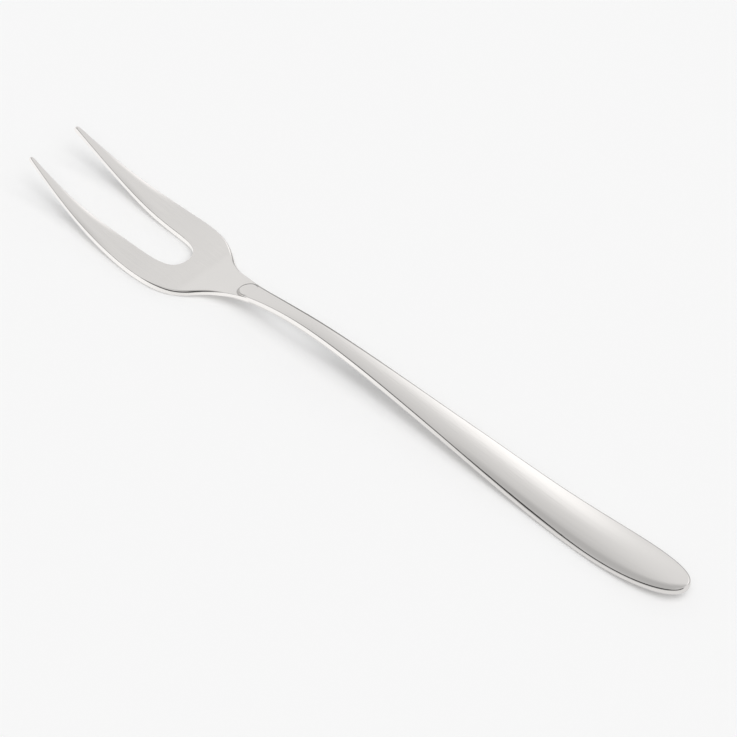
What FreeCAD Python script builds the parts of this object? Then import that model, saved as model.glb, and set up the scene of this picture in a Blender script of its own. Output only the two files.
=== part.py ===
import FreeCAD, Part
import os
import Sketcher

# Two-tined serving fork: one piece of stainless steel, lying with its tines turned up.
# X runs along the fork, tines at -X and handle end at +X. Y is across it and Z is up.
# The origin is at the middle of its length, on the surface that it rests on.
# A station is a distance from the front of the tongue, where the handle meets the head.
# The curves are splines held by their poles, so a size "there" is the nearest pole's.

sizes = [
    ("tine_length", 54.6, "root of the slot to the foremost point of the tines"),
    ("web_length", 21.4, "front of the tongue to the root of the slot"),
    ("tip_centre", 8.83, "middle plane to the middle of a tine's end"),
    ("tip_width", 0.56, "width that a tine's sides run out to"),
    ("run_out", 1.5, "length that they run on past the foremost point"),
    ("blade_back", 16.0, "foremost point to the slender part of the tines"),
    ("blade_half", 11.68, "half width of the head there"),
    ("blade_slot_half", 8.2, "half width of the slot there"),
    ("blade_height", 7.02, "upper face there"),
    ("cheek_back", 33.5, "foremost point to the broad part of the tines"),
    ("cheek_half", 13.87, "half width of the head there"),
    ("cheek_slot_half", 5.9, "half width of the slot there"),
    ("cheek_height", 2.65, "upper face there"),
    ("cheek_depth", 2.36, "upright thickness there"),
    ("shoulder_station", 25.5, "widest part of the head"),
    ("shoulder_half", 14.76, "half width there"),
    ("slot_bend_length", 4.1, "length of the rounded root of the slot"),
    ("slot_bend_half", 6.37, "half width of the slot where its root begins"),
    ("slot_root_half", 3.6, "half width that rounds the slot's root"),
    ("shoulder_height", 2.22, "upper face there"),
    ("shoulder_depth", 2.28, "upright thickness there"),
    ("heel_station", 18.0, "heel, which the head rests on"),
    ("heel_half", 13.31, "half width there"),
    ("heel_height", 2.28, "upper face there"),
    ("heel_depth", 2.1, "upright thickness there"),
    ("throat_station", 13.0, "throat, where the plate bends up"),
    ("throat_half", 10.15, "half width there"),
    ("throat_height", 1.37, "upper face there"),
    ("throat_depth", 1.95, "upright thickness there"),
    ("ramp_station", 4.5, "ramp below the tongue"),
    ("ramp_half", 3.83, "half width there"),
    ("ramp_height", 4.94, "upper face there"),
    ("ramp_depth", 1.9, "upright thickness there"),
    ("tang_length", 10.0, "plate that runs on inside the handle"),
    ("tang_half", 2.4, "half width of its end"),
    ("tang_height", 8.25, "upper face of its end"),
    ("tang_depth", 1.65, "upright thickness of its end"),
    ("tip_height", 13.6, "upper face at the tines' ends"),
    ("tine_thickness", 2.3, "thickness of the tines' ends, which are round"),
    ("handle_length", 164.0, "front of the tongue to the end of the handle"),
    ("tongue_half", 3.11, "half width of the tongue, and radius of its front"),
    ("start_height", 5.47, "crown of the handle, run out ahead of the tongue"),
    ("start_depth", 2.51, "upright thickness there"),
    ("neck_station", 12.0, "neck of the handle"),
    ("neck_half", 2.35, "half width there"),
    ("neck_height", 9.05, "crown there"),
    ("neck_depth", 2.71, "upright thickness there"),
    ("arch_station", 30.0, "top of the arch"),
    ("arch_half", 2.4, "half width there"),
    ("arch_height", 11.13, "crown there"),
    ("arch_depth", 2.88, "upright thickness there"),
    ("shank_half", 3.73, "half width of the shank, midway between arch and grip"),
    ("shank_height", 8.36, "crown there"),
    ("shank_depth", 2.46, "upright thickness there"),
    ("grip_ahead", 69.0, "grip to the end of the handle"),
    ("grip_half", 5.45, "half width there"),
    ("grip_height", 5.0, "crown there"),
    ("grip_depth", 2.77, "upright thickness there"),
    ("foot_ahead", 41.5, "part that the handle rests on, to its end"),
    ("foot_half", 6.79, "half width there"),
    ("foot_height", 2.54, "crown there"),
    ("foot_depth", 3.29, "upright thickness there"),
    ("lift_ahead", 18.5, "start of the rounded end, which lifts off the surface, to its end"),
    ("lift_half", 7.93, "half width there"),
    ("lift_height", 3.46, "crown there"),
    ("lift_depth", 3.1, "upright thickness there"),
    ("end_half", 4.59, "half width that rounds the end of the handle"),
    ("end_height", 6.24, "crown, run out past the end"),
    ("end_depth", 2.5, "upright thickness there"),
    ("crown_radius", 34.0, "radius of the crown, across the handle"),
    ("plate_edge", 0.3, "rounding of the head's edges"),
    ("handle_edge", 0.8, "rounding of the handle's edges"),
    ("margin", 4.0, "how far stock and cutters reach past the finished faces"),
]

doc = FreeCAD.newDocument("serving_fork")
sheet = doc.addObject("Spreadsheet::Sheet", "sizes")
for row, (alias, value, meaning) in enumerate(sizes, start=1):
    sheet.set(f"A{row}", alias)
    sheet.set(f"B{row}", str(value))
    sheet.set(f"C{row}", meaning)
    sheet.setAlias(f"B{row}", alias)
doc.recompute()


def new_sketch(body, name, plane):
    """An empty sketch of the body, on one of its own origin planes."""
    sketch = body.newObject("Sketcher::SketchObject", name)
    planes = [feature for feature in body.Origin.OriginFeatures if feature.Role == plane]
    sketch.AttachmentSupport = [(planes[0], "")]
    sketch.MapMode = "FlatFace"
    return sketch


def bind(sketch, index, expression):
    """Take the constraint's value from the sheet."""
    sketch.setExpression(f"Constraints[{index}]", expression)


def hold(sketch, direction, curve, end, expression):
    """Hold a point of a curve at a distance from the sketch's origin in one direction."""
    value = float(sketch.evalExpression(expression))
    rule = Sketcher.Constraint(direction, -1, 1, curve, end, value)
    bind(sketch, sketch.addConstraint(rule), expression)


def place(sketch, curve, end, across, up):
    """Hold a point of a curve in both directions."""
    hold(sketch, "DistanceX", curve, end, across)
    hold(sketch, "DistanceY", curve, end, up)


def point_at(sketch, across, up):
    """Point of the sketch's plane that two expressions give."""
    return FreeCAD.Vector(
        float(sketch.evalExpression(across)), float(sketch.evalExpression(up)), 0
    )


def add_spline(sketch, points):
    """Cubic spline with evenly spaced knots; gives it and the circles at its poles."""
    spans = len(points) - 3
    knots = [step / spans for step in range(spans + 1)]
    repeats = [4] + [1] * (spans - 1) + [4]
    curve = Part.BSplineCurve()
    curve.buildFromPolesMultsKnots(points, repeats, knots, False, 3)
    spline = sketch.addGeometry(curve, False)
    first_pole = spline + 1
    sketch.exposeInternalGeometry(spline)
    return spline, [first_pole + step for step in range(len(points))]


def add_bound_spline(sketch, places):
    """Spline whose poles all have their places on the sheet."""
    spline, poles = add_spline(sketch, [point_at(sketch, *spot) for spot in places])
    for pole, spot in zip(poles, places):
        place(sketch, pole, 3, *spot)
    return spline, poles


def add_side_spline(sketch, places):
    """Spline along one side, and its mirror image across the sketch's horizontal axis."""
    points = [point_at(sketch, *spot) for spot in places]
    spline, poles = add_spline(sketch, points)
    twin, twin_poles = add_spline(sketch, [FreeCAD.Vector(point.x, -point.y, 0) for point in points])
    hold_both_sides(sketch, places, poles, twin_poles)
    return spline, twin, poles, twin_poles


def round_end(reach, before):
    """Place of the last poles that brings a round spline's end just to its reach."""
    return f"(24 * ({reach}) - ({before})) / 23"


def add_round_spline(sketch, places, first_held=0):
    """One spline down one side, round the end and back up the other side.

    The poles before the first held one are left to the sketch's other rules.
    """
    points = [point_at(sketch, *spot) for spot in places]
    back = [FreeCAD.Vector(point.x, -point.y, 0) for point in reversed(points)]
    spline, poles = add_spline(sketch, points + back)
    hold_both_sides(sketch, places, poles[: len(places)], poles[::-1], first_held)
    return spline, poles


def hold_both_sides(sketch, places, poles, twin_poles, first_held=0):
    """Place the poles of one side, and keep those of the other side opposite them."""
    for spot, pole in list(zip(places, poles))[first_held:]:
        place(sketch, pole, 3, *spot)
    for pole, twin in zip(poles, twin_poles):
        sketch.addConstraint(Sketcher.Constraint("Symmetric", pole, 3, twin, 3, -1))


def join(sketch, first, first_end, second, second_end):
    """Bring two ends together."""
    sketch.addConstraint(
        Sketcher.Constraint("Coincident", first, first_end, second, second_end)
    )


def add_line(sketch, first, first_end, second, second_end, construction=False):
    """Straight line between the ends of two curves."""
    tail = sketch.getPoint(first, first_end)
    head = sketch.getPoint(second, second_end)
    line = sketch.addGeometry(Part.LineSegment(tail, head), construction)
    join(sketch, first, first_end, line, 1)
    join(sketch, second, second_end, line, 2)
    return line


def add_path(sketch, places):
    """Straight lines from point to point, each point placed from the sheet."""
    lines = []
    for start, stop in zip(places, places[1:]):
        segment = Part.LineSegment(point_at(sketch, *start), point_at(sketch, *stop))
        lines.append(sketch.addGeometry(segment, False))
    for line, start in zip(lines, places):
        place(sketch, line, 1, *start)
    place(sketch, lines[-1], 2, *places[-1])
    for before, after in zip(lines, lines[1:]):
        join(sketch, before, 2, after, 1)
    return lines


def add_feature(body, kind, name, sketch, length):
    """Pad or pocket of the sketch, as far to one side of its plane as to the other."""
    feature = body.newObject(f"PartDesign::{kind}", name)
    feature.Profile = sketch
    feature.SideType = "Symmetric"
    feature.setExpression("Length", length)
    doc.recompute()
    return feature


upright_lean = 1e-6  # largest rise of an upright wall's normal
end_clearance = 1e-3  # how far short of the given place an edge starts
sliver_share = 0.1  # shortest edge worth rounding, as a share of the radius


def is_wall(face, point):
    """Whether the face stands upright at the point."""
    across, along = face.Surface.parameter(point)
    return abs(face.normalAt(across, along).z) < upright_lean


def round_edges(body, name, radius, ends_at):
    """Round the edges where upright walls meet the faces above and below them.

    Edges that run past the given place along X stay sharp.
    """
    base = body.Tip
    shape = base.Shape
    limit = float(sheet.evalExpression(ends_at)) - end_clearance
    short = float(sheet.evalExpression(radius)) * sliver_share
    names = []
    for number, edge in enumerate(shape.Edges, start=1):
        middle = edge.valueAt((edge.FirstParameter + edge.LastParameter) / 2)
        faces = shape.ancestorsOfType(edge, Part.Face)
        walls = [is_wall(face, middle) for face in faces]
        if walls.count(True) == 1 and edge.BoundBox.XMin < limit and edge.Length > short:
            names.append(f"Edge{number}")
    fillet = body.newObject("PartDesign::Fillet", name)
    fillet.Base = (base, names)
    fillet.setExpression("Radius", radius)
    doc.recompute()
    return fillet


foremost = "-(sizes.web_length + sizes.tine_length)"
sides_end = f"{foremost} - sizes.run_out"
stations = {
    "blade": f"{foremost} + sizes.blade_back",
    "cheek": f"{foremost} + sizes.cheek_back",
    "slot_bend": "-(sizes.web_length + sizes.slot_bend_length)",
    "shoulder": "-sizes.shoulder_station",
    "heel": "-sizes.heel_station",
    "throat": "-sizes.throat_station",
    "ramp": "-sizes.ramp_station",
    "neck": "sizes.neck_station",
    "arch": "sizes.arch_station",
    "shank": "(sizes.arch_station + sizes.handle_length - sizes.grip_ahead) / 2",
    "grip": "sizes.handle_length - sizes.grip_ahead",
    "foot": "sizes.handle_length - sizes.foot_ahead",
    "lift": "sizes.handle_length - sizes.lift_ahead",
}
plate_end = "sizes.tang_length + sizes.run_out"
depth_of_cut = "2 * (sizes.tip_height + sizes.arch_height)"

head = doc.addObject("PartDesign::Body", "head")

# Side view of the plate: upper and lower face, closed by a half round nose at the tines.
plate_side = new_sketch(head, "plate_side", "XZ_Plane")
guess_share = 0.7  # first place of the tip in thicknesses; the sketch then settles it
tip_guess = f"{foremost} + {guess_share} * sizes.tine_thickness"
plate_places = [(tip_guess, "sizes.tip_height"), (stations["blade"], "sizes.blade_height")]
under_places = []
for spot in ("cheek", "shoulder", "heel", "throat", "ramp"):
    plate_places.append((stations[spot], f"sizes.{spot}_height"))
    under_places.append((stations[spot], f"sizes.{spot}_height - sizes.{spot}_depth"))
plate_places.append((plate_end, "sizes.tang_height"))
under_places.append((plate_end, "sizes.tang_height - sizes.tang_depth"))

top_points = [point_at(plate_side, *spot) for spot in plate_places]
along_tip = (top_points[1] - top_points[0]).normalize()
through_tip = FreeCAD.Vector(along_tip.y, -along_tip.x, 0)
through_tip *= float(plate_side.evalExpression("sizes.tine_thickness"))
under_points = [point + through_tip for point in top_points[:2]]
under_points += [point_at(plate_side, *spot) for spot in under_places]

top_face, top_poles = add_spline(plate_side, top_points)
under_face, under_poles = add_spline(plate_side, under_points)
for pole, spot in zip(top_poles[1:], plate_places[1:]):
    place(plate_side, pole, 3, *spot)
for pole, spot in zip(under_poles[2:], under_places):
    place(plate_side, pole, 3, *spot)

hold(plate_side, "DistanceY", top_poles[0], 3, "sizes.tip_height")
tip_leg = add_line(plate_side, top_poles[0], 3, top_poles[1], 3, construction=True)
for top_pole, under_pole in zip(top_poles[:2], under_poles[:2]):
    across = add_line(plate_side, top_pole, 3, under_pole, 3, construction=True)
    plate_side.addConstraint(Sketcher.Constraint("Perpendicular", tip_leg, across))
    thickness = Sketcher.Constraint("Distance", across, through_tip.Length)
    bind(plate_side, plate_side.addConstraint(thickness), "sizes.tine_thickness")
    if top_pole == top_poles[0]:
        tip_line = across

nose_centre = top_points[0] + through_tip / 2
nose_side = nose_centre - along_tip * through_tip.Length / 2
nose = plate_side.addGeometry(Part.Arc(top_points[0], nose_side, under_points[0]), False)
join(plate_side, nose, 1, top_face, 1)
join(plate_side, nose, 2, under_face, 1)
plate_side.addConstraint(Sketcher.Constraint("PointOnObject", nose, 3, tip_line))
hold(plate_side, "DistanceX", nose, 3, f"{foremost} + sizes.tine_thickness / 2")
add_line(plate_side, top_face, 2, under_face, 2)
doc.recompute()
band = add_feature(
    head, "Pad", "plate_band", plate_side, "2 * (sizes.shoulder_half + sizes.margin)"
)

# Outline of the plate with the slot between the tines; the stock round it is cut away.
plate_plan = new_sketch(head, "plate_plan", "XY_Plane")
outline_places = [(sides_end, "sizes.tip_centre + sizes.tip_width / 2")]
for spot in ("blade", "cheek", "shoulder", "heel", "throat", "ramp"):
    outline_places.append((stations[spot], f"sizes.{spot}_half"))
outline_places.append(("sizes.tang_length", "sizes.tang_half"))
slot_places = [
    (sides_end, "sizes.tip_centre - sizes.tip_width / 2"),
    (stations["blade"], "sizes.blade_slot_half"),
    (stations["cheek"], "sizes.cheek_slot_half"),
    (stations["slot_bend"], "sizes.slot_bend_half"),
    (round_end("-sizes.web_length", stations["slot_bend"]), "sizes.slot_root_half"),
]
outer, outer_twin, outer_poles, outer_twin_poles = add_side_spline(plate_plan, outline_places)
slot, slot_poles = add_round_spline(plate_plan, slot_places)
add_line(plate_plan, outer, 1, slot, 1)
add_line(plate_plan, outer_twin, 1, slot, 2)
add_line(plate_plan, outer, 2, outer_twin, 2)
stock_front = f"{sides_end} - sizes.margin"
stock_back = f"{plate_end} + sizes.margin"
stock_side = "sizes.shoulder_half + 2 * sizes.margin"
add_path(
    plate_plan,
    [
        (stock_front, f"-({stock_side})"),
        (stock_back, f"-({stock_side})"),
        (stock_back, stock_side),
        (stock_front, stock_side),
        (stock_front, f"-({stock_side})"),
    ],
)
doc.recompute()
add_feature(head, "Pocket", "plate_outline", plate_plan, depth_of_cut)
round_edges(head, "plate_edges", "sizes.plate_edge", "sizes.tang_length")

handle = doc.addObject("PartDesign::Body", "handle")
handle_back = "sizes.handle_length + sizes.margin"
side_places = []
for spot in ("neck", "arch", "shank", "grip", "foot", "lift"):
    side_places.append((stations[spot], f"sizes.{spot}_height", f"sizes.{spot}_depth"))
side_places.insert(0, ("-sizes.margin", "sizes.start_height", "sizes.start_depth"))
side_places.append((handle_back, "sizes.end_height", "sizes.end_depth"))

# Outline of the handle: round front of the tongue, narrow neck, broad round end.
handle_plan = new_sketch(handle, "handle_plan", "XY_Plane")
edge_places = [("sizes.tongue_half", "sizes.tongue_half")]
for spot in ("neck", "arch", "shank", "grip", "foot", "lift"):
    edge_places.append((stations[spot], f"sizes.{spot}_half"))
edge_places.append((round_end("sizes.handle_length", stations["lift"]), "sizes.end_half"))
sides, side_poles = add_round_spline(handle_plan, edge_places, first_held=1)
tongue_radius = float(handle_plan.evalExpression("sizes.tongue_half"))
front = handle_plan.addGeometry(
    Part.Arc(
        FreeCAD.Vector(tongue_radius, tongue_radius, 0),
        FreeCAD.Vector(0, 0, 0),
        FreeCAD.Vector(tongue_radius, -tongue_radius, 0),
    ),
    False,
)
join(handle_plan, front, 2, sides, 2)
hold(handle_plan, "DistanceX", front, 3, "sizes.tongue_half")
front_radius = handle_plan.addConstraint(Sketcher.Constraint("Radius", front, tongue_radius))
bind(handle_plan, front_radius, "sizes.tongue_half")
first_leg = add_line(handle_plan, side_poles[0], 3, side_poles[1], 3, construction=True)
handle_plan.addConstraint(Sketcher.Constraint("Tangent", first_leg, 1, front, 1))
doc.recompute()
add_feature(handle, "Pad", "handle_stock", handle_plan, "2 * (sizes.arch_height + sizes.margin)")

# Underside of the handle, flat across.
under_side = new_sketch(handle, "under_side", "XZ_Plane")
floor = "-(sizes.arch_height + 2 * sizes.margin)"
under_places = [(across, f"{crown} - {depth}") for across, crown, depth in side_places]
under_line, under_line_poles = add_bound_spline(under_side, under_places)
corners = add_path(under_side, [("-sizes.margin", floor), (handle_back, floor)])
add_line(under_side, under_line, 1, corners[0], 1)
add_line(under_side, under_line, 2, corners[0], 2)
doc.recompute()
add_feature(handle, "Pocket", "undercut", under_side, "2 * (sizes.lift_half + sizes.margin)")

# Crowned upper face: an arc across the handle, carried along the arched crown line.
crown_line = new_sketch(handle, "crown_line", "XZ_Plane")
add_bound_spline(crown_line, [(across, crown) for across, crown, depth in side_places])
crown_section = new_sketch(handle, "crown_section", "YZ_Plane")
crown_section.setExpression("AttachmentOffset.Base.z", "-sizes.margin")
doc.recompute()
crown_reach = "(sizes.lift_half + sizes.margin)"
crown_centre = "sizes.start_height - sizes.crown_radius"
crown_section_radius = float(crown_section.evalExpression("sizes.crown_radius"))
crown_side = f"{crown_centre} + sqrt(sizes.crown_radius ^ 2 - {crown_reach} ^ 2)"
crown_lid = "sizes.start_height + 2 * sizes.arch_height + sizes.margin"
crown_arc = crown_section.addGeometry(
    Part.Arc(
        point_at(crown_section, crown_reach, crown_side),
        point_at(crown_section, "0", "sizes.start_height"),
        point_at(crown_section, f"-{crown_reach}", crown_side),
    ),
    False,
)
lid = add_path(crown_section, [(f"-{crown_reach}", crown_lid), (crown_reach, crown_lid)])
left_side = add_line(crown_section, crown_arc, 2, lid[0], 1)
right_side = add_line(crown_section, lid[0], 2, crown_arc, 1)
for side in (left_side, right_side):
    crown_section.addConstraint(Sketcher.Constraint("Vertical", side))
hold(crown_section, "DistanceY", crown_arc, 3, crown_centre)
crown_size = Sketcher.Constraint("Radius", crown_arc, crown_section_radius)
bind(crown_section, crown_section.addConstraint(crown_size), "sizes.crown_radius")
doc.recompute()
crown = handle.newObject("PartDesign::SubtractivePipe", "crown")
crown.Profile = crown_section
crown.Spine = (crown_line, ["Edge1"])
crown.Mode = "Fixed"
doc.recompute()
round_edges(handle, "handle_edges", "sizes.handle_edge", "sizes.handle_length")

fork = doc.addObject("Part::Fuse", "fork")
fork.Base = head
fork.Tool = handle
fork.Label = "serving_fork"
doc.recompute()

# The fork is set down on its lowest point, with the middle of its length at the origin.
lowest = fork.Shape.optimalBoundingBox().ZMin
middle = float(sheet.evalExpression("(handle_length - web_length - tine_length) / 2"))
fork.Placement = FreeCAD.Placement(FreeCAD.Vector(-middle, 0, -lowest), FreeCAD.Rotation())
doc.recompute()

for item in doc.Objects:
    if "Invalid" in item.State or "Error" in item.State:
        raise RuntimeError(f"{item.Label} failed to build")
if fork.Shape.isNull() or not fork.Shape.isValid() or len(fork.Shape.Solids) != 1:
    raise RuntimeError(f"{fork.Label} is not one sound solid")

os.makedirs("parts", exist_ok=True)
fork.Shape.exportStep(f"parts/{fork.Label}.step")
bounds = fork.Shape.optimalBoundingBox()
print(fork.Label, round(bounds.XLength, 2), round(bounds.YLength, 2), round(bounds.ZLength, 2))
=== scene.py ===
# Two-tined serving fork in polished stainless steel, lying on a pale table
import math
import bmesh
import bpy
import numpy as np
from mathutils import Matrix, Vector


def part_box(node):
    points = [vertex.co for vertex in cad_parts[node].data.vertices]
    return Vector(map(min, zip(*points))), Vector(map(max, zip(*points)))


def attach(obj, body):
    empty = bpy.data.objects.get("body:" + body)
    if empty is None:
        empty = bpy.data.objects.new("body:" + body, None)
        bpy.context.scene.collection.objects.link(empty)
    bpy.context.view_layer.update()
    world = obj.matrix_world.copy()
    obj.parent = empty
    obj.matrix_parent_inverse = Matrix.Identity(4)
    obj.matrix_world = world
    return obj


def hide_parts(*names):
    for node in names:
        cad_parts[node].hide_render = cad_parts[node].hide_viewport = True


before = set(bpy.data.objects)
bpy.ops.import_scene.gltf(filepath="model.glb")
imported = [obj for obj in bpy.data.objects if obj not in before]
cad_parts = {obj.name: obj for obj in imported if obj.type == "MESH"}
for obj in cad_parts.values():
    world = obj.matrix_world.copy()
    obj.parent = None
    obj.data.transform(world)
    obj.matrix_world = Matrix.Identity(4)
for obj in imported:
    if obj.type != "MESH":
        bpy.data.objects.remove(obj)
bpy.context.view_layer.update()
mm = 0.001

sampling = {
    "profile": 1500,            # points of a tabulated side curve
    "plan": 1600,               # and of a plan curve
    "nearlyOne": 1.0 - 1e-12,   # where the last span of a spline ends
}


def knotsFor(count):
    inner = np.linspace(0, 1, count - 2)
    return np.concatenate([[0, 0, 0], inner, [1, 1, 1]])


def basisRow(knots, count, degree, u):
    # weights of the poles at u, by the Cox-de Boor rule
    weights = [(knots[i] <= u < knots[i + 1]) * 1.0 for i in range(len(knots) - 1)]
    for d in range(1, degree + 1):
        nextWeights = []
        for i in range(len(weights) - 1):
            left = knots[i + d] - knots[i]
            right = knots[i + d + 1] - knots[i + 1]
            a = (u - knots[i]) / left * weights[i] if left else 0.0
            b = (knots[i + d + 1] - u) / right * weights[i + 1] if right else 0.0
            nextWeights.append(a + b)
        weights = nextWeights
    return np.array(weights[:count])


class Spline:
    # clamped cubic spline with even knots, held by its poles
    def __init__(self, poles):
        self.poles = np.array(poles, float)
        self.knots = knotsFor(len(poles))

    def at(self, u):
        u = min(max(u, 0.0), sampling["nearlyOne"])
        return basisRow(self.knots, len(self.poles), 3, u) @ self.poles

    def heading(self, u):
        u = min(max(u, 0.0), sampling["nearlyOne"])
        count = len(self.poles)
        spans = self.knots[4:count + 3] - self.knots[1:count]
        legs = 3 * np.diff(self.poles, axis=0) / spans[:, None]
        weights = basisRow(self.knots[1:-1], count - 1, 2, u)
        return weights @ legs


class Profile:
    # height over x from a side spline, tabulated finely and read back with a cubic
    def __init__(self, poles):
        line = Spline(poles)
        us = np.linspace(0, 1, sampling["profile"])
        points = np.array([line.at(u) for u in us])
        slopes = np.array([line.heading(u) for u in us])
        self.x, self.z = points.T
        self.dz = slopes[:, 1] / slopes[:, 0]

    def height(self, x):
        i = np.clip(np.searchsorted(self.x, x) - 1, 0, len(self.x) - 2)
        span = self.x[i + 1] - self.x[i]
        t = (x - self.x[i]) / span
        a = (1 + 2 * t) * (1 - t) ** 2 * self.z[i] + t * (1 - t) ** 2 * span * self.dz[i]
        b = t ** 2 * (3 - 2 * t) * self.z[i + 1] - t ** 2 * (1 - t) * span * self.dz[i + 1]
        return a + b


def mirrored(poles):
    return list(poles) + [(x, -y) for x, y in reversed(poles)]


def inward(direction, turn):
    # plan direction turned a quarter, to the left with turn 1 and to the right with turn -1
    d = direction / np.hypot(*direction)
    return np.array([-d[1], d[0]]) * turn


def eased(x, start, end):
    # 0 at start and 1 at end, level at both
    t = np.clip((x - start) / (end - start), 0, 1)
    return t * t * (3 - 2 * t)


def edgeAt(places, x):
    return float(np.interp(x, *zip(*places)))


ring = {                        # section of every row
    "roundSteps": 6,
    "wallSteps": 3,
    "margin": 0.06,             # first step of a face past its rounding, which keeps the shading flat
    "marginMost": 0.2,          # and the most it may be of the face
}


def sectionRow(upper, lower, across):
    # one closed ring: up side A, across the top, down side B and back along the bottom.
    # a face gives where it meets the two sides in plan, the inward plan directions and the
    # roundings there, and a function from a plan point to a point and its outward direction
    angles = np.linspace(0, math.pi / 2, ring["roundSteps"] + 1)
    insets, drops = 1 - np.cos(angles), 1 - np.sin(angles)

    def corner(face, side):
        out = []
        for inset, drop in zip(insets * face[side + "Edge"], drops * face[side + "Edge"]):
            point, outward = face["at"](face[side] + face[side + "In"] * inset)
            out.append(point - outward * drop)
        return out

    def span(face):
        a = face["a"] + face["aIn"] * face["aEdge"]
        b = face["b"] + face["bIn"] * face["bEdge"]
        length = np.hypot(*(b - a))
        most = ring["marginMost"]
        near = min(ring["margin"] / length, most) if length else most
        ts = np.linspace(near, 1 - near, across)
        return [face["at"](a + (b - a) * t)[0] for t in ts]

    upA, upB = corner(upper, "a"), corner(upper, "b")
    lowA, lowB = corner(lower, "a"), corner(lower, "b")
    walls = np.linspace(0, 1, ring["wallSteps"] + 2)[1:-1]
    wallB = [upB[0] + (lowB[0] - upB[0]) * t for t in walls]
    wallA = [lowA[0] + (upA[0] - lowA[0]) * t for t in walls]
    return upA + span(upper) + upB[::-1] + wallB + lowB + span(lower)[::-1] + lowA[::-1] + wallA


def meshFromRows(name, parts):
    # rows of rings, joined into tubes whose end rings have closed on themselves
    verts, faces = [], []
    for rows in parts:
        start, count = len(verts), len(rows[0])
        for row in rows:
            verts.extend(row)
        for i in range(len(rows) - 1):
            for j in range(count):
                k = (j + 1) % count
                a, b = start + i * count, start + (i + 1) * count
                faces.append((a + j, a + k, b + k, b + j))
    mesh = bpy.data.meshes.new(name)
    mesh.from_pydata([tuple(v) for v in np.array(verts) * mm], [], faces)
    piece = bpy.data.objects.new(name, mesh)
    bpy.context.scene.collection.objects.link(piece)
    return piece


class PlanCurve:
    # a plan spline read by the distance along it, or by x where it runs towards +X
    def __init__(self, poles, samples=sampling["plan"], until=1.0):
        self.line = Spline(poles)
        self.us = np.linspace(0, until, samples)
        self.points = np.array([self.line.at(u) for u in self.us])
        steps = np.hypot(*np.diff(self.points, axis=0).T)
        self.lengths = np.concatenate([[0], np.cumsum(steps)])

    def uAtX(self, x):
        return np.interp(x, self.points[:, 0], self.us)

    def uAtLength(self, length):
        return np.interp(length, self.lengths, self.us)

    def lengthAtX(self, x):
        return np.interp(x, self.points[:, 0], self.lengths)


# places are in millimetres, measured along the fork from the front of the tongue.
# outlines, side curves and roundings are lists of (place along the fork, value); the curves' are poles
head = {
    "foremost": -76.0,          # tip of the tines
    "tang": 10.0,               # end of the plate, hidden in the handle
    "noseThickness": 2.3,
    "hidden": 6.0,              # by here the handle has covered its outline
    # rounding of the upper edges, and of the lower ones
    "topEdge": [(-26, 0.14), (-18, 0.6), (-11, 0.95), (-6, 0.7), (-2, 0.14)],
    "lowEdge": [(-32, 0.8), (0, 0.8)],
    "rootBlend": 6,             # how soon the slot's root goes back to its own small rounding
    "edgeShare": 0.44,          # most that a rounding may take of a narrow tine
    "softReach": 1.7,           # how far in from the edges the tines' upper face eases down
    "softSlope": 0.21,          # its slope at the edge
    "softStart": -36.0,         # where that begins, and where it is complete
    "softEnd": -58.0,
    # plan view, half widths
    "outline": [(-77.5, 9.11), (-60, 11.68), (-42.5, 13.87), (-25.5, 14.76), (-18, 13.31), (-13, 10.15),
                (-4.5, 3.83), (10, 2.4)],
    "slot": [(-77.5, 8.55), (-60, 8.35), (-42.5, 5.9), (-25.5, 6.36), (-21.22, 3.0)],
    "slotShift": -0.3,          # the slot sits a hair to one side of the middle
    "shiftStart": -24.0,        # between these the shift fades out in the web
    "shiftEnd": -6.0,
    "shiftPower": 3,            # and with this power of the way to the outline
    # side view: top of the tines' ends, top of the rest, and its upright thickness at the last six poles
    "tipTop": (-74.37, 13.6),
    "upper": [(-60, 7.02), (-42.5, 2.65), (-25.5, 2.22), (-18, 2.28), (-13, 1.37), (-4.5, 4.94),
              (11.5, 8.25)],
    "depth": [2.36, 2.28, 2.1, 1.95, 1.9, 1.65],
    "webStart": -30.0,          # from here the rows fan out round the slot's root
    "leanStart": -60.0,         # up to here the rows' ends lean with the tines, from leanEnd they are upright
    "leanEnd": -35.0,
    "noseRows": 14,
    "tineRows": 96,
    "webRows": 84,
    "across": 38,
}


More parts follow.
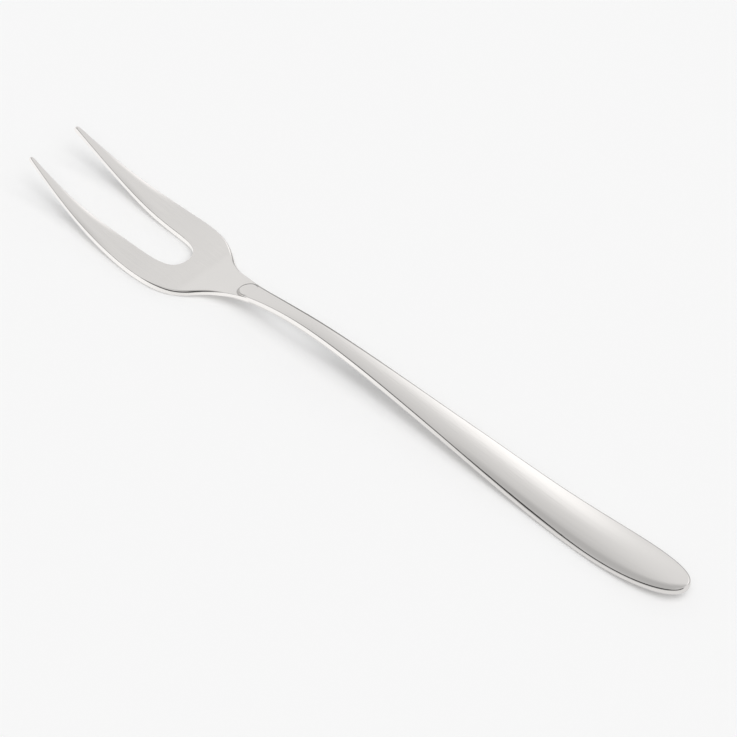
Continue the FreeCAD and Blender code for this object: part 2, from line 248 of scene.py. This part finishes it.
def buildHead():
    # two tines and the waisted web behind them: one plate bent in the side view
    rise = np.array(head["tipTop"]) - np.array(head["upper"][0])
    forward = rise / np.hypot(*rise)                       # from the plate out through the tip
    upward = np.array([forward[1], -forward[0]])           # square to the plate at the tip
    thick = head["noseThickness"]
    topPoles = [head["tipTop"]] + head["upper"]
    depths = [None, None] + head["depth"]
    lowPoles = []
    for (x, z), depth in zip(topPoles, depths):
        if depth is None:
            lowPoles.append((x - upward[0] * thick, z - upward[1] * thick))
        else:
            lowPoles.append((x, z - depth))
    top, low = Profile(topPoles), Profile(lowPoles)
    noseCentre = (np.array(topPoles[0]) + np.array(lowPoles[0])) / 2
    outline = PlanCurve(head["outline"])
    slot = PlanCurve(mirrored(head["slot"]), until=0.5)
    across = head["across"]

    def sides(x, radius):
        out = {}
        for name, curve, turn in (("a", slot, 1), ("b", outline, -1)):
            u = curve.uAtX(x)
            out[name] = np.array([x, curve.line.at(u)[1]])
            slope = curve.line.heading(u)
            out[name + "In"] = np.array([0.0, turn * math.hypot(1.0, slope[1] / slope[0])])
        most = (out["b"][1] - out["a"][1]) * head["edgeShare"]
        out["aEdge"] = out["bEdge"] = min(edgeAt(radius, x), most)
        return out

    def softened(face, x):
        # how far the upper face has eased down at y
        share = eased(x, head["softStart"], head["softEnd"])
        inner, outer = face["a"][1], face["b"][1]
        reach = min(head["softReach"], (outer - inner) / 2)

        def drop(y):
            depth = max(0.0, 1 - min(y - inner, outer - y) / reach)
            return share * head["softSlope"] / 2 * reach * depth * depth
        return drop

    def noseFace(angle, sign):
        # sign 1 is the upper half of the round tip, -1 the lower
        outward = upward * math.cos(angle) * sign + forward * math.sin(angle)
        place = noseCentre + outward * thick / 2
        face = sides(place[0], head["topEdge"] if sign > 0 else head["lowEdge"])
        direction = np.array([outward[0], 0, outward[1]])
        ease = softened(face, place[0])
        spot = np.array([place[0], 0, place[1]])
        share = max(sign, 0) * math.cos(angle)      # only the upper half eases down
        face["at"] = lambda p: (spot + (0, p[1], 0) - direction * ease(p[1]) * share, direction)
        # both halves have the same edge where they meet at the foremost point
        low = sides(place[0], head["lowEdge"])["aEdge"]
        face["aEdge"] = face["bEdge"] = face["aEdge"] + (low - face["aEdge"]) * math.sin(angle)
        return face

    rows = []
    for angle in np.linspace(math.pi / 2, 0, head["noseRows"], endpoint=False):
        rows.append(sectionRow(noseFace(angle, 1), noseFace(angle, -1), across))

    # rows across the tines, whose ends lean less and less towards the web
    for x in np.linspace(topPoles[0][0], head["webStart"], head["tineRows"]):
        lean = eased(x, head["leanEnd"], head["leanStart"])
        lowX = x - upward[0] * thick * lean
        topPlace = np.array([x, top.height(x)])
        lowPlace = np.array([lowX, low.height(lowX)])
        outward = (topPlace - lowPlace) / np.hypot(*(topPlace - lowPlace))
        upper, lower = sides(x, head["topEdge"]), sides(lowX, head["lowEdge"])
        upDirection = np.array([outward[0], 0, outward[1]])
        ease = softened(upper, x)
        topSpot = np.array([x, 0, topPlace[1]])
        lowSpot = np.array([lowX, 0, lowPlace[1]])
        upper["at"] = lambda p: (topSpot + (0, p[1], 0) - upDirection * ease(p[1]), upDirection)
        lower["at"] = lambda p: (lowSpot + (0, p[1], 0), -upDirection)
        rows.append(sectionRow(upper, lower, across))

    # rows of the web fan out from the root of the slot to the outline and the hidden end
    slotStart, outStart = slot.lengthAtX(head["webStart"]), outline.lengthAtX(head["webStart"])
    slotLength, outLength = slot.lengths[-1] - slotStart, outline.lengths[-1] - outStart
    endHalf = head["outline"][-1][1]
    zUp = np.array([0, 0, 1.0])
    for f in np.linspace(0, 1, head["webRows"])[1:]:
        u = slot.uAtLength(slotStart + slotLength * f)
        heading = slot.line.heading(u)
        face = {"a": slot.line.at(u), "aIn": inward(heading, 1)}
        reach = (outLength + endHalf) * f
        if reach <= outLength:
            v = outline.uAtLength(outStart + reach)
            face["b"], face["bIn"] = outline.line.at(v), inward(outline.line.heading(v), -1)
        else:
            face["b"] = np.array([head["tang"], endHalf - (reach - outLength)])
            face["bIn"] = np.array([-1.0, 0.0])
        # the outline's rounding runs out where the handle hides it
        shown = np.clip((head["hidden"] - face["b"][0]) / head["hidden"], 0, 1)
        rootEdge, sideEdge = head["topEdge"][0][1], edgeAt(head["topEdge"], face["b"][0])
        rootEdge += (sideEdge - rootEdge) * max(0, 1 - head["rootBlend"] * f)
        upper = dict(face, aEdge=rootEdge, bEdge=sideEdge * shown)
        upper["at"] = lambda p: (np.array([p[0], p[1], top.height(p[0])]), zUp)
        lowEdge = edgeAt(head["lowEdge"], face["b"][0])
        lower = dict(face, aEdge=lowEdge, bEdge=lowEdge * shown)
        lower["at"] = lambda p: (np.array([p[0], p[1], low.height(p[0])]), -zUp)
        rows.append(sectionRow(upper, lower, across))
    other = [[point * np.array([1, -1, 1]) for point in row] for row in rows]
    rows = rows + other[-2::-1]

    def shifted(point):
        x, y, z = point
        fade = eased(x, head["shiftEnd"], head["shiftStart"])
        half = outline.line.at(outline.uAtX(x))[1]
        inside = max(0.0, 1 - (abs(y) / half) ** head["shiftPower"])
        return np.array([x, y + head["slotShift"] * inside * fade, z])

    topOfNose = noseCentre[1] + thick / 2
    return [[shifted(point) for point in row] for row in rows], topOfNose


handle = {
    "tongueRadius": 3.11,
    # rounding of the upper edges on the two sides, and of the lower ones
    "nearEdge": [(20, 0.2), (50, 0.34), (85, 0.36), (100, 0.5), (118, 0.48), (135, 0.34),
                 (155, 0.36)],
    "farEdge": [(3, 0.7), (20, 1.1), (42, 1.1), (75, 0.8), (90, 0.55)],
    "lowEdge": [(0, 0.8), (85, 0.9)],
    "rollStart": 80.0,          # from here the near edge rolls over ever more, until rollEnd
    "rollEnd": 112.0,
    "rollReach": 2.3,           # how far in from the edge, and its slope at the edge
    "rollSlope": 0.40,
    "meet": 2.0,                # half width over which the two sides blend at the ends
    "crownRadius": 34.0,
    "outline": [(12, 2.35), (30, 2.4), (62.5, 3.73), (95, 5.45), (122.5, 6.79), (145.5, 7.93),
                (164.8, 4.59)],
    "outlineSamples": 2400,
    "rimEvery": 4,              # of them, for the distance to the rim
    "crown": [(-4, 5.47), (12, 9.05), (30, 11.13), (62.5, 8.36), (95, 5.0), (122.5, 2.54), (145.5, 3.46),
              (168, 6.24)],
    "depth": [2.51, 2.71, 2.88, 2.46, 2.77, 3.29, 3.1, 2.5],
    "frontRows": 22,
    "sideRows": 400,
    "endCrowding": 1.25,
    "across": 26,
    "trim": 0.9996,             # keeps the mesh just inside the solid's sides
}


def buildHandle():
    # one bar with a crowned top, from the round tongue to the round end
    radius, across = handle["tongueRadius"], handle["across"]
    centre = np.array([radius, 0.0])
    pole = np.array(handle["outline"][0])
    reach = pole - centre
    turn = math.atan2(reach[1], reach[0]) + math.acos(radius / np.hypot(*reach))
    touch = centre + radius * np.array([math.cos(turn), math.sin(turn)])
    poles = mirrored([tuple(touch)] + handle["outline"])
    outline = PlanCurve(poles, samples=handle["outlineSamples"], until=0.5)
    rim = outline.points[::handle["rimEvery"]]
    crownLine = Profile(handle["crown"])
    under = Profile([(x, z - depth) for (x, z), depth in zip(handle["crown"], handle["depth"])])
    zUp = np.array([0, 0, 1.0])

    def crown(p):
        sag = handle["crownRadius"] - math.sqrt(handle["crownRadius"] ** 2 - p[1] ** 2)
        if p[1] < 0 and p[0] > handle["rollStart"]:
            share = min((p[0] - handle["rollStart"]) / (handle["rollEnd"] - handle["rollStart"]), 1)
            gap = np.hypot(*(rim - (p[0], -p[1])).T).min()
            depth = max(0.0, 1 - gap / handle["rollReach"])
            share *= min(1, -p[1] / handle["meet"])
            sag += share * handle["rollSlope"] / 2 * handle["rollReach"] * depth * depth
        return np.array([p[0], p[1], crownLine.height(p[0]) - sag]), zUp

    def below(p):
        return np.array([p[0], p[1], under.height(p[0])]), -zUp

    def row(point, into):
        flip = np.array([1, -1])
        face = {"a": point * flip, "aIn": into * flip, "b": point, "bIn": into}
        low = edgeAt(handle["lowEdge"], point[0])
        near, far = edgeAt(handle["nearEdge"], point[0]), edgeAt(handle["farEdge"], point[0])
        # side A is the near one; the two meet in the middle of both ends
        share = min(1, abs(point[1]) / handle["meet"])
        middle = (near + far) / 2
        nearEdge, farEdge = middle + (near - middle) * share, middle + (far - middle) * share
        upper = dict(face, at=crown, aEdge=nearEdge, bEdge=farEdge)
        lower = dict(face, at=below, aEdge=low, bEdge=low)
        return sectionRow(upper, lower, across)

    rows = []
    for angle in np.linspace(math.pi, turn, handle["frontRows"], endpoint=False):
        direction = np.array([math.cos(angle), math.sin(angle)])
        rows.append(row(centre + radius * direction, -direction))
    # rows stand closer together round the blunt end
    total = outline.lengths[-1]
    for f in np.linspace(0, 1, handle["sideRows"]):
        u = outline.uAtLength(total * (1 - (1 - f) ** handle["endCrowding"]))
        rows.append(row(outline.line.at(u), inward(outline.line.heading(u), -1)))
    return rows


merge = {"doubles": 1e-6, "degenerate": 1e-7}       # metres


def buildFork():
    headRows, noseTop = buildHead()
    piece = meshFromRows("fork", [headRows, buildHandle()])
    low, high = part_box("serving_fork")
    lift = high[2] - noseTop * mm
    piece.data.transform(Matrix.Translation((low[0] - head["foremost"] * mm, 0, lift)))
    piece.data.transform(Matrix.Diagonal((1, handle["trim"], 1, 1)))
    bm = bmesh.new()
    bm.from_mesh(piece.data)
    bmesh.ops.remove_doubles(bm, verts=bm.verts, dist=merge["doubles"])
    bmesh.ops.dissolve_degenerate(bm, edges=bm.edges, dist=merge["degenerate"])
    bmesh.ops.recalc_face_normals(bm, faces=bm.faces)
    for face in bm.faces:
        face.smooth = True
    bm.to_mesh(piece.data)
    bm.free()
    return piece


print("fork: building the mesh")
fork = buildFork()
print("fork:", len(fork.data.polygons), "faces")
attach(fork, "root")
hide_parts("serving_fork")


class NodeTree:
    # one shader node tree, with plain calls for its nodes
    def __init__(self, tree):
        self.tree = tree
        tree.nodes.clear()

    def add(self, kind, settings=None, **inputs):
        node = self.tree.nodes.new(kind)
        for name, value in (settings or {}).items():
            if name == "stops":
                self.setStops(node.color_ramp, value)
            else:
                setattr(node, name, value)
        for name, value in inputs.items():
            self.feed(self.find(node.inputs, name), value)
        return node

    def setStops(self, ramp, stops):
        for place, colour in stops[1:-1]:
            ramp.elements.new(place).color = colour
        for end in (0, -1):
            ramp.elements[end].position, ramp.elements[end].color = stops[end]

    def find(self, sockets, name):
        # "Base_Color" is the socket "Base Color"; a number at the end picks among equal names
        words = name.replace("_", " ")
        matches = [s for s in sockets if s.name == words and s.enabled]
        if matches:
            return matches[0]
        words, _, number = words.rpartition(" ")
        return [s for s in sockets if s.name == words and s.enabled][int(number)]

    def feed(self, socket, value):
        if isinstance(value, Value):
            value = value.socket
        if isinstance(value, bpy.types.NodeSocket):
            self.tree.links.new(value, socket)
        else:
            socket.default_value = value

    def value(self, node, name):
        return Value(self, self.find(node.outputs, name))

    def coordinates(self, name):
        # Texture Coordinate's output of that name
        return self.value(self.add("ShaderNodeTexCoord"), name)

    def split(self, vector):
        node = self.add("ShaderNodeSeparateXYZ", Vector=vector)
        return [self.value(node, axis) for axis in "XYZ"]

    def grow(self, value, start, end, kind="SMOOTHSTEP"):
        # 0 at start and 1 at end
        settings = {"interpolation_type": kind}
        node = self.add("ShaderNodeMapRange", settings, Value=value, From_Min=start, From_Max=end)
        return self.value(node, "Result")

    def blend(self, share, first, second):
        # the first colour at share 0, the second at 1
        node = self.add("ShaderNodeMix", {"data_type": "RGBA"}, Factor=share, A=first, B=second)
        return self.value(node, "Result")

    def mixShaders(self, share, first, second):
        inputs = {"Shader_0": first.outputs[0], "Shader_1": second.outputs[0]}
        return self.add("ShaderNodeMixShader", Fac=share, **inputs)


class Value:
    # a socket that takes part in Python expressions
    def __init__(self, nodes, socket):
        self.nodes, self.socket = nodes, socket

    def math(self, operation, a, b=None):
        node = self.nodes.tree.nodes.new("ShaderNodeMath")
        node.operation = operation
        self.nodes.feed(node.inputs[0], a)
        if b is not None:
            self.nodes.feed(node.inputs[1], b)
        return Value(self.nodes, node.outputs[0])

    def taken(self, operation):
        # the operation on this value alone
        return self.math(operation, self)

    def __add__(self, other):
        return self.math("ADD", self, other)

    def __radd__(self, other):
        return self.math("ADD", other, self)

    def __sub__(self, other):
        return self.math("SUBTRACT", self, other)

    def __rsub__(self, other):
        return self.math("SUBTRACT", other, self)

    def __mul__(self, other):
        return self.math("MULTIPLY", self, other)

    def __rmul__(self, other):
        return self.math("MULTIPLY", other, self)


# places are in millimetres of the frame; a pair is where something is absent and where it is complete
steel = {
    "colour": (0.885, 0.86, 0.838, 1),
    "litWebColour": (0.935, 0.91, 0.885, 1),   # painted reflection: the flat web is painted a little lighter
    "shadedTineColour": (0.85, 0.828, 0.808, 1),  # and painted reflection: the tines a little darker
    "webPlace": (-104, -64),
    "headPlace": (-40, -47),
    "clouds": (0.86, 0.842, 0.822, 1),      # tone of the soft patches that polishing leaves
    "cloudShare": 0.7,
    "cloudScale": 90.0,
    "cloudDetail": 3.0,
    "rim": (0.40, 0.385, 0.375, 1),         # painted dark reflection along the far rim of the neck
    "darkReflectionFacing": (0.06, 0.25),              # how far a surface turns away before it counts as rim
    "darkReflectionPlace": (26, -12),
    "topFacing": (0.3, 0.6),                # and how far up it faces before the painted rim reflection and the painted corner shade show
    "cornerShade": (0.30, 0.29, 0.28, 1),          # painted shade in the corner round the tongue
    "cornerShadeWidth": (0.55, 0.25),              # off the tongue's outline
    "cornerShadeFront": (1.9, 0.4),                # past the centre of the tongue's round front
    "cornerShadeSides": (-1.2, 1.0),               # across the fork, from its near side to its far side
    "cornerShadeInset": 0.42,                      # on the far side it lies this much inside the outline
    "cornerShadeShares": (0.58, 0.98),             # strength on the near side and the far side
    "headRoughness": 0.13,
    "handleRoughness": 0.085,
    "broad": (14, 900, 900),                # fine lines along the fork: broad faint ones, and hairlines
    "broadRoughness": 0.05,
    "broadShare": 0.7,                      # of the streaks' height, the rest is the hairlines'
    "hairs": (60, 5200, 5200),
    "hairRoughness": 0.04,
    "streakDetail": 2.0,
    "streakDepth": 0.00002,                 # metres
    "noiseRoughness": 0.6,
}


def makeSteel():
    material = bpy.data.materials.new("polished_steel")
    material.use_nodes = True
    nodes = NodeTree(material.node_tree)
    place = nodes.coordinates("Object")
    x, y, _ = nodes.split(place)

    def noise(stretch, detail, scale=1.0):
        stretched = nodes.value(nodes.add("ShaderNodeMapping", Vector=place, Scale=stretch), "Vector")
        node = nodes.add("ShaderNodeTexNoise", Vector=stretched, Scale=scale, Detail=detail,
                         Roughness=steel["noiseRoughness"])
        return nodes.value(node, "Fac")

    def between(value, name, kind="SMOOTHSTEP"):
        start, end = steel[name]
        return nodes.grow(value, start * mm, end * mm, kind)

    broad = noise(steel["broad"], steel["streakDetail"])
    hairs = noise(steel["hairs"], steel["streakDetail"])
    clouds = noise((1, 1, 1), steel["cloudDetail"], steel["cloudScale"])
    onHead = between(x, "headPlace")
    # painted reflection: tines darker and web lighter than the rest of the steel
    plate = nodes.blend(between(x, "webPlace", "LINEAR"), steel["shadedTineColour"], steel["litWebColour"])
    tone = nodes.blend(onHead, steel["colour"], plate)
    tone = nodes.blend(clouds * steel["cloudShare"], tone, steel["clouds"])

    # painted dark reflection on the far rim of the neck, where the surface turns away
    _, sideways, upwards = nodes.split(nodes.coordinates("Normal"))
    upwards = nodes.grow(upwards, *steel["topFacing"], "LINEAR")
    away = nodes.grow(sideways, *steel["darkReflectionFacing"], "LINEAR")
    onNeck = between(x, "darkReflectionPlace", "LINEAR") * (1 - onHead)
    tone = nodes.blend(away * upwards * onNeck, tone, steel["rim"])

    # painted shade of the corner: it lies on the tongue's own edge on the far side, and beside it on the near
    # side
    radius = handle["tongueRadius"] * mm
    past = x - (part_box("serving_fork")[0][0] - head["foremost"] * mm + radius)
    farSide = between(y, "cornerShadeSides", "LINEAR")
    off = (past * past + y * y).taken("SQRT") - radius + farSide * (steel["cornerShadeInset"] * mm)
    nearShare, farShare = steel["cornerShadeShares"]
    corner = between(off.taken("ABSOLUTE"), "cornerShadeWidth") * between(past, "cornerShadeFront") * upwards
    corner = corner * (farSide * (farShare - nearShare) + nearShare)
    tone = nodes.blend(corner, tone, steel["cornerShade"])

    rough = onHead * (steel["headRoughness"] - steel["handleRoughness"]) + steel["handleRoughness"]
    rough = rough + (broad - 0.5) * steel["broadRoughness"] + (hairs - 0.5) * steel["hairRoughness"]
    height = broad * steel["broadShare"] + hairs * (1 - steel["broadShare"])
    bump = nodes.add("ShaderNodeBump", Strength=1.0, Distance=steel["streakDepth"], Height=height)
    shader = nodes.add("ShaderNodeBsdfPrincipled", Base_Color=tone, Metallic=1.0, Roughness=rough,
                       Normal=nodes.value(bump, "Normal"))
    nodes.add("ShaderNodeOutputMaterial", Surface=shader.outputs[0])
    return material


print("fork: polished steel")
fork.data.materials.append(makeSteel())

camera = {
    "turn": 46.4,                           # of the view round the upright, from the line of the fork
    "elevation": 44.6,
    "place": (0.60094, -0.62578, 0.85929),
    "lens": 216.88,
    "sensor": 36.0,
    "clip": (0.01, 20),
}


def makeCamera():
    turn, lift = math.radians(camera["turn"]), math.radians(camera["elevation"])
    right = Vector((math.sin(turn), math.cos(turn), 0))
    back = Vector((math.cos(turn) * math.cos(lift), -math.sin(turn) * math.cos(lift), math.sin(lift)))
    up = back.cross(right)
    data = bpy.data.cameras.new("camera")
    data.lens, data.sensor_width = camera["lens"], camera["sensor"]
    data.clip_start, data.clip_end = camera["clip"]
    view = bpy.data.objects.new("camera", data)
    turned = Matrix((right, up, back)).transposed().to_4x4()
    view.matrix_world = Matrix.Translation(camera["place"]) @ turned
    bpy.context.scene.collection.objects.link(view)
    bpy.context.scene.camera = view


print("camera")
makeCamera()

# places are in millimetres of the frame, as the steel's are
table = {
    "colour": (0.93, 0.93, 0.93, 1),
    "half": 3.0,                            # metres
    "shadowKept": 0.25,                     # share of its shadows that reflections keep
    "bright": 1.12,                         # in reflections, times the levels along the fork below
    # its lower levels are painted shade, where the fork's own shadow lies near it
    "alongFork": [(-120, 1.0), (-72, 1.0), (-57.6, 0.76), (-43.2, 1.0), (-4.8, 1.0), (12, 0.84),
                  (43.2, 0.70), (84, 0.67)],
    "reach": 120,                           # half the length that these levels run over
    # its shade under the neck, as the neck's side mirrors it
    "shadeNear": (-8.6, -6.6),
    "shadeFront": (-50, -43),
    "shadeBack": (14, 0),
    "shade": (0.68, 0.68, 0.68, 1),
    # light that the neck's polished side throws under itself: middle and half length in x and in y
    "thrownX": (-28, 27),
    "thrownY": (1.0, 3.8),
    "thrown": (0.97, 0.97, 0.97, 1),
    "thrownShare": 0.5,
}


def makeFloor():
    mesh = bpy.data.meshes.new("table")
    h = table["half"]
    mesh.from_pydata([(-h, -h, 0), (h, -h, 0), (h, h, 0), (-h, h, 0)], [], [(0, 1, 2, 3)])
    floor = bpy.data.objects.new("table", mesh)
    bpy.context.scene.collection.objects.link(floor)
    material = bpy.data.materials.new("table")
    material.use_nodes = True
    nodes = NodeTree(material.node_tree)
    x, y, _ = nodes.split(nodes.coordinates("Object"))

    def between(value, name):
        start, end = table[name]
        return nodes.grow(value, start * mm, end * mm)

    def patch(value, name):
        middle, half = table[name]
        away = (value - middle * mm).taken("ABSOLUTE")
        return nodes.grow(away, half * mm, 0.0)

    # as reflections see it: a glow, with painted shade along the fork
    reach = table["reach"]
    along = nodes.grow(x, -reach * mm, reach * mm, "LINEAR")
    stops = [((place + reach) / (2 * reach), (level, level, level, 1))
             for place, level in table["alongFork"]]
    tone = nodes.value(nodes.add("ShaderNodeValToRGB", {"stops": stops}, Fac=along), "Color")
    under = between(y, "shadeNear") * between(x, "shadeFront") * between(x, "shadeBack")
    tone = nodes.blend(under, tone, table["shade"])
    glow = nodes.add("ShaderNodeEmission", Color=tone, Strength=table["bright"])

    # as the camera sees it
    lit = patch(x, "thrownX") * patch(y, "thrownY")
    cloth = nodes.add("ShaderNodeBsdfDiffuse", Color=table["colour"])
    flare = nodes.add("ShaderNodeEmission", Color=table["thrown"], Strength=1.0)
    seen = nodes.mixShaders(lit * table["thrownShare"], cloth, flare)
    glossy = nodes.value(nodes.add("ShaderNodeLightPath"), "Is Glossy Ray")
    both = nodes.mixShaders(glossy * (1 - table["shadowKept"]), seen, glow)
    nodes.add("ShaderNodeOutputMaterial", Surface=both.outputs[0])
    mesh.materials.append(material)


print("table")
makeFloor()

# angles are in degrees: azimuths from +X towards +Y, elevations above the table
light = {
    "plain": 0.50,                          # what the table is lit by
    "pale": 0.93,                           # what the camera sees past the table
    "sky": 0.79,                            # what the steel sees, before the shapes below
    "least": 0.02,
    "shapes": [                             # brightness added, azimuth, elevation, inner and outer radius
        (0.44, 110, 37, 2, 20),             # window
        (-0.30, 180, 62, 5, 38),            # darker ceiling
    ],
    # low band beyond the table; it is absent past reach and complete within full, off its azimuth
    "band": {"azimuth": 92, "reach": 48, "full": 30, "elevation": 8.0, "half": 16.0, "core": 0.3,
             "darker": 0.55},
    # dark room behind the camera, below high and complete below low, but lit near the ground
    "room": {"azimuth": -80, "reach": 65, "full": 56, "high": 74, "low": 54, "dark": 0.03},
    "foot": {"high": 30, "low": 17, "bright": 0.42},
    "sunDirection": (7, -2.6, 12.7),
    "suns": [(1.36, 62), (0.48, 20)],       # strength and angle: a broad window with a brighter core
}


def pointing(azimuth, elevation=0.0):
    a, e = math.radians(azimuth), math.radians(elevation)
    return (math.cos(e) * math.cos(a), math.cos(e) * math.sin(a), math.sin(e))


def sine(degrees):
    return math.sin(math.radians(degrees))


def cosine(degrees):
    return math.cos(math.radians(degrees))


def makeSurroundings():
    world = bpy.data.worlds.new("studio")
    world.use_nodes = True
    nodes = NodeTree(world.node_tree)
    direction = nodes.coordinates("Generated")

    def vectorMath(operation, output, *inputs):
        sockets = {"Vector_" + str(i): value for i, value in enumerate(inputs)}
        return nodes.value(nodes.add("ShaderNodeVectorMath", {"operation": operation}, **sockets), output)

    level = vectorMath("NORMALIZE", "Vector", vectorMath("MULTIPLY", "Vector", direction, (1, 1, 0)))
    height = vectorMath("DOT_PRODUCT", "Value", direction, (0, 0, 1))

    def towards(part):
        sideways = vectorMath("DOT_PRODUCT", "Value", level, pointing(part["azimuth"]))
        return nodes.grow(sideways, cosine(part["reach"]), cosine(part["full"]))

    def below(part):
        return nodes.grow(height, sine(part["high"]), sine(part["low"]))

    sky = light["sky"]
    for added, azimuth, elevation, inner, outer in light["shapes"]:
        along = vectorMath("DOT_PRODUCT", "Value", direction, pointing(azimuth, elevation))
        off = along.taken("ARCCOSINE")
        sky = nodes.grow(off, math.radians(outer), math.radians(inner)) * added + sky
    band, room = light["band"], light["room"]
    half = sine(band["half"])
    off = (height - sine(band["elevation"])).taken("ABSOLUTE")
    sky = sky - nodes.grow(off, half, half * band["core"]) * towards(band) * band["darker"]
    inRoom = towards(room) * below(room)
    foot = below(light["foot"]) * light["foot"]["bright"]
    sky = sky * (1 - inRoom) + inRoom * (foot + room["dark"])
    sky = sky.math("MAXIMUM", sky, light["least"])

    path = nodes.add("ShaderNodeLightPath")
    glossy, seen = nodes.value(path, "Is Glossy Ray"), nodes.value(path, "Is Camera Ray")
    plain = seen * (light["pale"] - light["plain"]) + light["plain"]
    strength = sky * glossy + plain * (1 - glossy)
    shade = nodes.add("ShaderNodeBackground", Color=(1, 1, 1, 1), Strength=strength)
    nodes.add("ShaderNodeOutputWorld", Surface=shade.outputs[0])
    bpy.context.scene.world = world


def makeSuns():
    # they light the table; the steel mirrors the surroundings instead
    for strength, angle in light["suns"]:
        data = bpy.data.lights.new("window", "SUN")
        data.energy, data.angle = strength, math.radians(angle)
        lamp = bpy.data.objects.new("window", data)
        lamp.rotation_mode = "QUATERNION"
        lamp.rotation_quaternion = Vector(light["sunDirection"]).to_track_quat("Z", "Y")
        lamp.visible_glossy = False
        bpy.context.scene.collection.objects.link(lamp)


print("surroundings and suns")
makeSurroundings()
makeSuns()
bpy.context.scene.view_settings.view_transform = "Standard"
